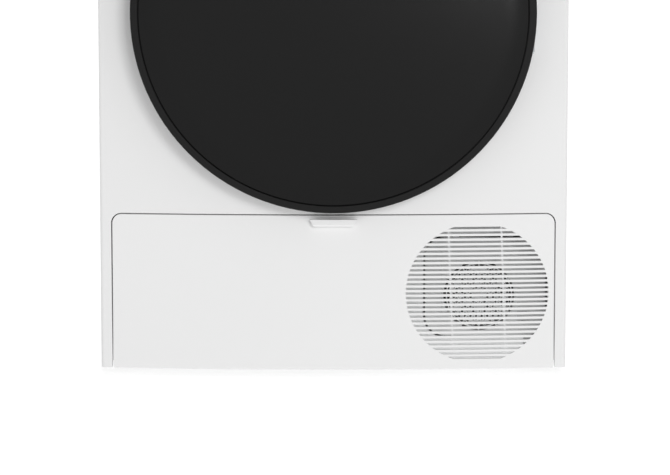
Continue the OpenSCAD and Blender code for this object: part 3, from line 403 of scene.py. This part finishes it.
def repeat_on(name, mesh, material, places):
    """Puts one small mesh at every point of a list, in mm, through Geometry Nodes, as one plain mesh."""
    cloud = bpy.data.meshes.new(name + "_places")
    cloud.from_pydata([tuple(c * MM for c in p[:3]) for p in places], [], [])
    spin = cloud.attributes.new("turn", "FLOAT_VECTOR", "POINT")
    size = cloud.attributes.new("size", "FLOAT_VECTOR", "POINT")
    for k, p in enumerate(places):
        spin.data[k].vector = [math.radians(a) for a in (p[3] if len(p) > 3 else (0, 0, 0))]
        size.data[k].vector = p[4] if len(p) > 4 else (1, 1, 1)
    unit = bpy.data.objects.new(name + "_unit", mesh)
    holder = bpy.data.objects.new(name + "_holder", cloud)
    scene.collection.objects.link(unit)
    scene.collection.objects.link(holder)
    tree = bpy.data.node_groups.new(name, "GeometryNodeTree")
    tree.interface.new_socket("Geometry", in_out="INPUT", socket_type="NodeSocketGeometry")
    unit_input = tree.interface.new_socket("Unit", in_out="INPUT", socket_type="NodeSocketObject")
    scale_input = tree.interface.new_socket("Unit size", in_out="INPUT", socket_type="NodeSocketFloat")
    tree.interface.new_socket("Geometry", in_out="OUTPUT", socket_type="NodeSocketGeometry")
    start = add_node(tree, "NodeGroupInput")
    shape = add_node(tree, "GeometryNodeObjectInfo", Object=start.outputs["Unit"])
    turn = add_node(tree, "GeometryNodeInputNamedAttribute", {"data_type": "FLOAT_VECTOR", "Name": "turn"})
    stretch = add_node(tree, "GeometryNodeInputNamedAttribute", {"data_type": "FLOAT_VECTOR", "Name": "size"})
    whole = add_node(tree, "ShaderNodeVectorMath", {"operation": "SCALE"},
                     Vector=stretch.outputs["Attribute"], Scale=start.outputs["Unit size"])
    rotation = add_node(tree, "FunctionNodeEulerToRotation", Euler=turn.outputs["Attribute"])
    copies = add_node(tree, "GeometryNodeInstanceOnPoints", Points=start.outputs["Geometry"],
                      Instance=shape.outputs["Geometry"], Rotation=rotation.outputs["Rotation"],
                      Scale=whole.outputs["Vector"])
    solid = add_node(tree, "GeometryNodeRealizeInstances", Geometry=copies.outputs["Instances"])
    coat = add_node(tree, "GeometryNodeSetMaterial", {"Material": material},
                    Geometry=solid.outputs["Geometry"])
    add_node(tree, "NodeGroupOutput", Geometry=coat.outputs["Geometry"])
    maker = holder.modifiers.new(name, "NODES")
    maker.node_group = tree
    maker[unit_input.identifier] = unit
    maker[scale_input.identifier] = 1.0
    bpy.context.view_layer.update()
    result = bpy.data.meshes.new_from_object(holder.evaluated_get(bpy.context.evaluated_depsgraph_get()))
    holder.modifiers.remove(maker)
    bpy.data.objects.remove(holder)
    bpy.data.objects.remove(unit)
    smooth(result)
    return result


DIAL_R = 36
dot = lathe([(0, -0.05), (1.0, -0.05), (1.1, 0.2), (0, 0.2)], 0, 0, 16)
dial = [math.radians(a) for a in range(-150, 151, 20)]
dots = [(DIAL_R * math.sin(a), on_bow(DIAL_R * math.sin(a)), knob_z + DIAL_R * math.cos(a)) for a in dial]
piece_from("programme_dots", repeat_on("programme_dots", dot, pointer_ink, dots),
           "cabinet", pointer_ink, "dark_grey_plastic")

# ---------------------------------------------------------------------------
# Door ring: one black ABS moulding with a fine grain. A narrow groove parts the
# satin rim from the glass; the back wall carries the bowl, seal and hinge.
# ---------------------------------------------------------------------------
door_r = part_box("door_frame")[1].x / MM
glass_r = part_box("door_glass")[1].x / MM
door_z = (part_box("door_frame")[0].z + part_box("door_frame")[1].z) / 2 / MM
door_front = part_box("door_frame")[0].y / MM


def from_axis(p):
    return math.hypot(p.x, p.z - door_z)


black_abs = textured("ABS, moulded satin black", "#141414", 0.45, grain=0.5, relief=0.012, tint=0.08,
                     Specular_IOR_Level=0.16)
finish_node("door_frame", black_abs, edge=0.25, rounds=[
    (lambda p, d: p.y < door_front + 0.2 and from_axis(p) > door_r - 1, 2.4, 5),
])

# ---------------------------------------------------------------------------
# Door glass: toughened glass in deep smoke, its edge ground and its back printed
# black, so it reads as one dark disc.
# ---------------------------------------------------------------------------
glass_low, glass_high = (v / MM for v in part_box("door_glass"))
profile = [(0, glass_low.y)] + [(glass_r * k / 8, glass_low.y + 0.25 * (k / 8) ** 2) for k in range(1, 8)]
profile += arc(glass_r - 0.9, glass_low.y + 1.15, 0.9, -90, 0, 4)
profile += [(glass_r, glass_high.y - 0.4), (glass_r - 0.4, glass_high.y), (0, glass_high.y)]
smoked_glass = textured("toughened glass, deep smoke", "#0B0B0B", 0.13, grain=40, relief=0.0, tint=0.1,
                        spread=0.01, Specular_IOR_Level=0.17)
piece_from("glass_disc", lathe(profile, 0, door_z, 256), "door", smoked_glass, "tinted_glass", "door_glass")

# ---------------------------------------------------------------------------
# Door bowl and seal: pressed clear glass that holds the laundry back, and the
# hollow rubber ring that closes on the front bulkhead's throat.
# ---------------------------------------------------------------------------
bowl_glass = textured("pressed borosilicate glass", "#E4ECEA", 0.04, grain=30, relief=0.0, tint=0.02,
                      spread=0.01, Transmission_Weight=0.92, IOR=1.47)
finish_node("door_bowl", bowl_glass, edge=0.8, segments=3)

rubber = textured("EPDM rubber, black", "#191919", 0.62, grain=0.9, relief=0.03, tint=0.2)
seal_low, seal_high = (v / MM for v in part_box("door_seal"))
seal_r1 = seal_high.x
seal_r0 = seal_r1 - 8
profile = [(seal_r0 + 0.6, seal_low.y), (seal_r1 - 0.6, seal_low.y), (seal_r1, seal_low.y + 0.6),
           (seal_r1 - 0.4, seal_low.y + 2.6), (seal_r1 - 1.4, seal_low.y + 3.4)]
profile += arc(seal_r1 - 2.6, seal_high.y - 2.2, 2.2, 0, 180, 8)
profile += [(seal_r0 + 0.8, seal_low.y + 3.6), (seal_r0, seal_low.y + 2.4), (seal_r0, seal_low.y + 0.6)]
piece_from("seal_ring", lathe(profile, 0, door_z, 192, loop=True), "door", rubber, "black_rubber",
           "door_seal")

# ---------------------------------------------------------------------------
# Hinge, hook and catch: the hinge is zinc-plated pressed steel with a plain pin,
# the hook a steel pressing, and its catch a black moulding behind the panel.
# ---------------------------------------------------------------------------
zinc_plate = textured("zinc-plated steel, bright", "#B9BCBF", 0.28, metallic=1.0, grain=1.2, relief=0.006,
                      tint=0.1, spread=0.08)
for node in ("door_hinge_bracket", "door_hinge_arm", "door_hook"):
    finish_node(node, zinc_plate, edge=0.35)
finish_node("door_catch", black_abs, edge=0.5)

# ---------------------------------------------------------------------------
# Behind the grille: the front wall of the base and the exchanger's lid in pale
# grey polypropylene, all matt as they leave the tool. The fan cover's darker grey
# is painted shade, for the shade behind the middle and right of the grille. The
# fan cover keeps the CAD node's own edges.
# ---------------------------------------------------------------------------
pale_pp = textured("polypropylene, moulded pale grey", "#F1F2F2", 0.5, grain=0.9, relief=0.02, tint=0.03)
for node in ("service_bulkhead", "exchanger_door"):
    finish_node(node, pale_pp, edge=0.6)
# Painted shade: the fan cover's material is the pale polypropylene darkened, standing for the shade behind
# the grille.
cover_pp_painted_shade = textured("polypropylene, pale grey darkened as painted shade", "#DEDFDF", 0.5, grain=0.9, relief=0.02, tint=0.03)
finish_node("fan_shroud", cover_pp_painted_shade, edge=0, merge=False)

# ---------------------------------------------------------------------------
# Fan guard, fan and fan motor: a honeycomb screen with its rim, snapped into the
# cover's rings, an axial fan moulded in dark grey and a small black motor.
# ---------------------------------------------------------------------------
fan_low, fan_high = (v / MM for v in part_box("cooling_fan"))
fan_x, fan_z = (fan_low.x + fan_high.x) / 2, (fan_low.z + fan_high.z) / 2
FAN_OPENING = 46
GUARD_CELL = 4.2
GUARD_R = 41.5
GUARD_WIRE = 0.75
GUARD_DEPTH = 1.4
RIM = 1.6
guard_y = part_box("fan_shroud")[0].y / MM + 0.2


def honeycomb_cell(pitch, wire, depth):
    """One six-sided ring of a honeycomb screen, standing in the X-Z plane."""
    work = bmesh.new()
    outer, inner = pitch / math.sqrt(3), pitch / math.sqrt(3) - wire
    rings = []
    for radius, y in ((outer, 0), (inner, 0), (inner, depth), (outer, depth)):
        rings.append([work.verts.new((radius * math.cos(math.pi * k / 3) * MM, y * MM,
                                      radius * math.sin(math.pi * k / 3) * MM)) for k in range(6)])
    for a, b in zip(rings, rings[1:] + rings[:1]):
        for k in range(6):
            work.faces.new((a[k], a[(k + 1) % 6], b[(k + 1) % 6], b[k]))
    bmesh.ops.recalc_face_normals(work, faces=work.faces)
    return mesh_from(work, "cell")


reach = int(FAN_OPENING / GUARD_CELL) + 1
cells = []
for row in range(-reach, reach + 1):
    for column in range(-reach, reach + 1):
        dx = column * GUARD_CELL * math.sqrt(3) / 2
        dz = (row + 0.5 * (column % 2)) * GUARD_CELL
        if math.hypot(dx, dz) < GUARD_R - GUARD_CELL / 2:
            cells.append((fan_x + dx, guard_y, fan_z + dz))
cell = honeycomb_cell(GUARD_CELL, GUARD_WIRE, GUARD_DEPTH)
piece_from("guard_screen", repeat_on("guard_screen", cell, pale_pp, cells),
           "cabinet", pale_pp, "light_grey_plastic")
rim = [(GUARD_R, guard_y), (GUARD_R + RIM, guard_y), (GUARD_R + RIM, guard_y + RIM), (GUARD_R, guard_y + RIM)]
piece_from("guard_rim", lathe(rim, fan_x, fan_z, 96, loop=True), "cabinet", pale_pp, "light_grey_plastic")

black_pp = textured("polypropylene, glass-filled black", "#222325", 0.48, grain=0.6, relief=0.02, tint=0.1)
dark_pp = textured("polypropylene, talc-filled grey", "#4B4D50", 0.52, grain=1.0, relief=0.03, tint=0.08)
finish_node("cooling_fan", dark_pp, edge=0.4)
finish_node("fan_motor", black_pp, edge=0.8)

# ---------------------------------------------------------------------------
# Base tray: one large moulding in pale grey polypropylene that carries the
# machinery, the feet and the flap's hinge lugs. The tunnel cover and the blower
# housing are darker; the bulkhead in front of the drum is pale like the tray.
# ---------------------------------------------------------------------------
finish_node("base_tray", pale_pp, edge=0.8)
finish_node("tunnel_cover", dark_pp, edge=1.2)
finish_node("blower_housing", dark_pp, edge=1.0)
finish_node("front_bulkhead", pale_pp, edge=0.8)

# ---------------------------------------------------------------------------
# Drum: stainless sheet rolled and seamed, brushed round its girth, with rows of
# pressed bosses that keep the laundry moving, and three moulded lifters.
# ---------------------------------------------------------------------------
drum_low, drum_high = (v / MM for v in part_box("drum_shell"))
drum_r = drum_high.x
drum_z = (drum_low.z + drum_high.z) / 2
drum_steel = textured("stainless steel, brushed", "#C4C5C6", 0.3, metallic=1.0, grain=1.4, relief=0.004,
                      tint=0.08, spread=0.07, stretch=(1, 0.06, 1))
finish_node("drum_shell", drum_steel, edge=0.25, limit=40)
finish_node("drum_rear_wall", drum_steel, edge=0.6, limit=40)
finish_node("drum_lifters", pale_pp, edge=3.0, segments=4)

BOSS_R = 6
BOSS_ROWS = 9
BOSS_ROUND = 42
BOSS_START = 50
BOSS_MARGINS = 90
BOSS_SINK = 1.05
LIFTER_AT = (90, 210, 330)
LIFTER_CLEAR = 13
boss = lathe([(0, -1.4), (BOSS_R * 0.45, -1.2), (BOSS_R * 0.8, -0.6), (BOSS_R, 0.1), (0, 0.1)], 0, 0, 14)
bosses = []
for row in range(BOSS_ROWS):
    y = drum_low.y + BOSS_START + row * (drum_high.y - drum_low.y - BOSS_MARGINS) / (BOSS_ROWS - 1)
    for k in range(BOSS_ROUND):
        turn = 360 * (k + 0.5 * (row % 2)) / BOSS_ROUND
        if min(abs((turn - a + 180) % 360 - 180) for a in LIFTER_AT) < LIFTER_CLEAR:
            continue
        r = drum_r - BOSS_SINK
        bosses.append((r * math.cos(math.radians(turn)), y, drum_z + r * math.sin(math.radians(turn)),
                       (90, 90 - turn, 0)))
piece_from("drum_bosses", repeat_on("drum_bosses", boss, drum_steel, bosses), "drum", drum_steel,
           "drum_steel")

# ---------------------------------------------------------------------------
# Felts, rollers, bearing and moisture bars: pressed wool felt closes the drum's
# two edges; nylon rollers carry its lip; two steel bars feel the laundry.
# ---------------------------------------------------------------------------
felt = textured("pressed wool felt", "#A5957A", 0.92, grain=1.2, relief=0.35, tint=0.3, spread=0.05)
finish_node("felt_seals", felt, edge=1.0)
nylon = textured("nylon, turned natural", "#E3E1D9", 0.45, grain=1.5, relief=0.01)
for side in ("left", "right"):
    finish_node("front_roller_" + side, nylon, edge=1.2, segments=3)
finish_node("rear_bearing", black_pp, edge=0.8)
finish_node("moisture_bars", zinc_plate, edge=1.1, segments=3)

# ---------------------------------------------------------------------------
# Drive: belt, motor, tensioner and blower wheel. The motor can is drawn steel,
# galvanised; the belt is ribbed rubber; the wheel is moulded black.
# ---------------------------------------------------------------------------
def spangled(name, colour, grain_mm):
    """Hot-dip zinc: crystals that catch the light one by one."""
    material = textured(name, colour, 0.42, metallic=0.85, grain=0.8, relief=0.01, tint=0.05)
    tree = material.node_tree
    shader = tree.nodes["Principled BSDF"]
    place = next(n for n in tree.nodes if n.type == "MAPPING").outputs["Vector"]
    crystal = add_node(tree, "ShaderNodeTexVoronoi", {"Scale": 1 / (grain_mm * MM)}, Vector=place)
    grey = add_node(tree, "ShaderNodeRGBToBW", Color=crystal.outputs["Color"])
    gloss = add_node(tree, "ShaderNodeMapRange", {"To Min": 0.34, "To Max": 0.52}, Value=grey.outputs["Val"])
    low = tuple(c * 0.8 for c in srgb(colour)[:3]) + (1,)
    tone = add_node(tree, "ShaderNodeMix", {"data_type": "RGBA", 6: low, 7: srgb(colour)},
                    i0=grey.outputs["Val"])
    tree.links.new(tone.outputs[2], shader.inputs["Base Color"])
    tree.links.new(gloss.outputs["Result"], shader.inputs["Roughness"])
    return material


galvanised = spangled("hot-dip galvanised steel", "#BFC3C6", 9)
belt_rubber = textured("poly-V belt rubber", "#151515", 0.7, grain=0.8, relief=0.05, tint=0.2)
finish_node("drum_belt", belt_rubber, edge=0.3)
finish_node("motor_housing", galvanised, edge=0.8)
finish_node("motor_rotor", zinc_plate, edge=0.5)
finish_node("idler_arm", galvanised, edge=0.3)
finish_node("idler_pulley", nylon, edge=0.9)
finish_node("blower_wheel", black_pp, edge=0.3)

# ---------------------------------------------------------------------------
# Heat exchangers: two packs of thin aluminium fins, the evaporator in front and
# the condenser behind it.
# ---------------------------------------------------------------------------
exch_low, exch_high = (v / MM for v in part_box("heat_exchangers"))
FIN_PITCH = 2.6
PACK_DEPTHS = (90, 120)
FIN_INSET = 0.2
UNIT = 100
fin_metal = textured("aluminium fin stock", "#D2D4D6", 0.3, metallic=1.0, grain=2.0, relief=0.01, tint=0.05)
copper = textured("copper, drawn tube", "#B87350", 0.3, metallic=1.0, grain=3, relief=0.004, tint=0.25)
fin_depth = (exch_low.y, exch_low.y + PACK_DEPTHS[0]), (exch_high.y - PACK_DEPTHS[1], exch_high.y)
fins = []
count = int((exch_high.x - exch_low.x - 2 * FIN_INSET) / FIN_PITCH)
for y0, y1 in fin_depth:
    for k in range(count + 1):
        fins.append((exch_low.x + FIN_INSET + k * FIN_PITCH, (y0 + y1) / 2, (exch_low.z + exch_high.z) / 2,
                     (0, 0, 0), (1, (y1 - y0) / UNIT, (exch_high.z - exch_low.z) / UNIT)))
fin = block((-0.15, -50, -50), (0.15, 50, 50), 0.05, 1)
piece_from("fine_heat_exchangers", repeat_on("exchanger_fins", fin, fin_metal, fins), "cabinet", fin_metal,
           "fin_aluminium", "heat_exchangers")

# ---------------------------------------------------------------------------
# Compressor and refrigerant lines: a welded steel can in black enamel on rubber
# mounts, and bent copper tube with a filter drier. Pipes and hose keep their
# round section: they are welded and smoothed, without broken edges.
# ---------------------------------------------------------------------------
black_enamel_and_cross_shade = textured("stoved enamel, black", "#121213", 0.3, grain=1.8, relief=0.03, tint=0.15)
finish_node("compressor", black_enamel_and_cross_shade, edge=1.2, segments=3)
finish_node("refrigerant_pipes", copper, edge=0)

# ---------------------------------------------------------------------------
# Condensate: pump in grey polypropylene, ribbed ivory hose, tray and the tank
# itself, blown in natural polypropylene that lets a little light through.
# ---------------------------------------------------------------------------
finish_node("condensate_pump", dark_pp, edge=0.9)
hose_pvc = textured("PVC hose, ivory", "#DAD6C6", 0.46, grain=1.6, relief=0.03)
finish_node("condensate_hose", hose_pvc, edge=0)
finish_node("tank_tray", pale_pp, edge=0.6)
natural_pp = textured("polypropylene, natural", "#E3E7E8", 0.4, grain=1.2, relief=0.02, tint=0.03,
                      Transmission_Weight=0.25)
finish_node("water_tank", natural_pp, edge=2.0, segments=4)

# ---------------------------------------------------------------------------
# Lint filter: a white moulded frame that holds fine woven mesh on both faces;
# the grip stands up into the throat.
# ---------------------------------------------------------------------------
finish_node("lint_filter", white_abs, edge=0.6)
lint_low, lint_high = (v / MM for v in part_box("lint_filter"))
MESH_PITCH = 2.4
FRAME_FOOT = 8
FRAME_TOP = 26
mesh_cloth = textured("polyester filter mesh", "#B4B7B9", 0.6, grain=0.5, relief=0.05, tint=0.1)
mesh_thread = textured("polyester thread", "#E9EAEA", 0.55, grain=0.5, relief=0.05)
mesh_top = lint_high.z - FRAME_TOP
threads = []
for window_x in (-1, 1):
    x0, x1 = sorted((window_x * 4, window_x * (lint_high.x - 8)))
    for face, y in (("front", lint_low.y), ("back", lint_high.y)):
        panel = block((x0, y - 0.15, lint_low.z + FRAME_FOOT), (x1, y + 0.15, mesh_top), 0.1, 1)
        piece_from(f"lint_mesh_{face}_{'left' if window_x < 0 else 'right'}", panel, "filter", mesh_cloth,
                   "white_plastic")
        for k in range(1, int((x1 - x0) / MESH_PITCH)):
            threads.append((x0 + k * MESH_PITCH, y, (lint_low.z + FRAME_FOOT + mesh_top) / 2, (0, 0, 0),
                            (1, 1, (mesh_top - lint_low.z - FRAME_FOOT) / UNIT)))
        for k in range(1, int((mesh_top - lint_low.z - FRAME_FOOT) / MESH_PITCH)):
            threads.append(((x0 + x1) / 2, y, lint_low.z + FRAME_FOOT + k * MESH_PITCH, (0, 90, 0),
                            (1, 1, (x1 - x0) / UNIT)))
thread = block((-0.25, -0.3, -50), (0.25, 0.3, 50), 0.1, 1)
piece_from("lint_threads", repeat_on("lint_threads", thread, mesh_thread, threads), "filter", mesh_thread,
           "white_plastic")

# ---------------------------------------------------------------------------
# Control board: glass-epoxy board with green solder mask, hidden behind the
# fascia.
# ---------------------------------------------------------------------------
solder_mask = textured("glass-epoxy board, green mask", "#1C5A34", 0.35, grain=2.5, relief=0.03, tint=0.3)
finish_node("control_board", solder_mask, edge=0.3)

# ---------------------------------------------------------------------------
# Rear: galvanised sheet with pressed air windows, the duct cover outside it, and
# pan-head screws round the edge. Each cross recess is painted shade: a black bar
# in each head stands for the shade in the recess.
# ---------------------------------------------------------------------------
finish_node("rear_panel", galvanised, edge=0.3)
finish_node("rear_duct_cover", galvanised, edge=1.2, segments=3, limit=50, merge=False)
screw_low, screw_high = (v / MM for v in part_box("cabinet_screws"))
SCREW_HEAD = 4
screw_x = screw_high.x - SCREW_HEAD
screw_z = (screw_low.z + SCREW_HEAD, 230, 430, 630, screw_high.z - SCREW_HEAD)
seats = [(side * screw_x, screw_high.y - 2, z) for side in (-1, 1) for z in screw_z]
profile = [(0, -4), (2, -4), (2, 0), (SCREW_HEAD, 0), (SCREW_HEAD, 0.7)]
profile += arc(SCREW_HEAD - 1.3, 0.7, 1.3, 0, 80, 4) + [(1.2, 2.0), (0.9, 1.1), (0, 1.0)]
pan_head = lathe(profile, 0, 0, 24)
piece_from("pan_heads", repeat_on("pan_heads", pan_head, zinc_plate, seats), "cabinet", zinc_plate,
           "bright_steel", "cabinet_screws")
# Painted shade: a bar in the compressor's black enamel, set in each head, stands for the shade of the cross
# recess.
cross_shade_bar = block((-2.3, 1.2, -0.35), (2.3, 1.98, 0.35), 0.1, 1)
cross_shade_places = [seat + ((0, turn, 0),) for seat in seats for turn in (20, 110)]
piece_from("screw_crosses", repeat_on("screw_crosses", cross_shade_bar, black_enamel_and_cross_shade, cross_shade_places), "cabinet", black_enamel_and_cross_shade,
           "bright_steel")

# ---------------------------------------------------------------------------
# Gland and drain spigot: a soft black gland for the mains lead and a grey
# moulded spigot with hose barbs, both through the rear sheet.
# ---------------------------------------------------------------------------
gland_low, gland_high = (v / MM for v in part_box("cord_gland"))
gland_x, gland_z = (gland_low.x + gland_high.x) / 2, (gland_low.z + gland_high.z) / 2
GLAND_RIBS = 4
RIB_PITCH = 3
profile = [(4, gland_low.y), (14, gland_low.y), (14, gland_low.y + 2.2), (13.2, gland_low.y + 3),
           (9.4, gland_low.y + 3)]
for k in range(GLAND_RIBS):
    profile += [(9.0, gland_low.y + 4 + RIB_PITCH * k), (9.0, gland_low.y + 5.4 + RIB_PITCH * k),
                (7.6, gland_low.y + 5.8 + RIB_PITCH * k), (7.6, gland_low.y + 6.6 + RIB_PITCH * k)]
profile = [p for p in profile if p[1] < gland_high.y - 0.6] + [(8.4, gland_high.y - 0.4), (7.8, gland_high.y),
                                                             (4, gland_high.y)]
piece_from("gland_body", lathe(profile, gland_x, gland_z, 64, loop=True), "cabinet", rubber, "black_rubber",
           "cord_gland")

spigot_low, spigot_high = (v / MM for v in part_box("drain_spigot"))
spigot_x, spigot_z = (spigot_low.x + spigot_high.x) / 2, (spigot_low.z + spigot_high.z) / 2
profile = [(0, spigot_low.y), (14, spigot_low.y), (14, spigot_low.y + 2.4), (13.4, spigot_low.y + 3),
           (7.2, spigot_low.y + 3)]
BARBS = 4
BARB_PITCH = 4.2
for k in range(BARBS):
    profile += [(7.2, spigot_low.y + 7 + BARB_PITCH * k), (8.0, spigot_low.y + 7.4 + BARB_PITCH * k),
                (7.3, spigot_low.y + 10.6 + BARB_PITCH * k)]
profile += [(7.0, spigot_high.y), (6, spigot_high.y), (6, spigot_low.y + 2), (0, spigot_low.y + 2)]
piece_from("spigot_body", lathe(profile, spigot_x, spigot_z, 64), "cabinet", dark_pp, "dark_grey_plastic",
           "drain_spigot")

# ---------------------------------------------------------------------------
# Levelling feet: a ribbed rubber pad moulded on a hexagon, under a zinc-plated
# threaded stud that screws up into the base.
# ---------------------------------------------------------------------------
STUD_R = 5
THREAD = 1.5
for corner in ("front_left", "front_right", "rear_left", "rear_right"):
    low, high = (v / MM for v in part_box("foot_" + corner))
    foot_x, foot_y, pad_r = (low.x + high.x) / 2, (low.y + high.y) / 2, (high.x - low.x) / 2
    pad = [(0, 0), (pad_r - 5, 0), (pad_r - 4.4, 0.6), (pad_r - 3.2, 0.6), (pad_r - 2.6, 0), (pad_r - 0.8, 0),
           (pad_r, 0.8), (pad_r, 4.4), (pad_r - 1, 5.4), (12, 6.2), (11.2, 10), (0, 10)]
    stud = [(0, 9.9), (STUD_R, 9.9)]
    turns = int((high.z - 11.5) / THREAD)
    for k in range(turns):
        stud += [(STUD_R, 10.6 + THREAD * k), (STUD_R - 0.7, 10.6 + THREAD * (k + 0.5))]
    stud += [(STUD_R - 1, high.z), (0, high.z)]
    for part, outline, finish, record_slot in (("pad", pad, rubber, "black_rubber"),
                                               ("stud", stud, zinc_plate, "bright_steel")):
        mesh = lathe(outline, 0, 0, 48)
        mesh.transform(Matrix.Translation((foot_x * MM, foot_y * MM, 0))
                       @ Matrix.Rotation(math.pi / 2, 4, "X"))
        nodes = ["foot_" + corner] if part == "pad" else []
        piece_from(f"{part}_{corner}", mesh, "foot_" + corner, finish, record_slot, *nodes)
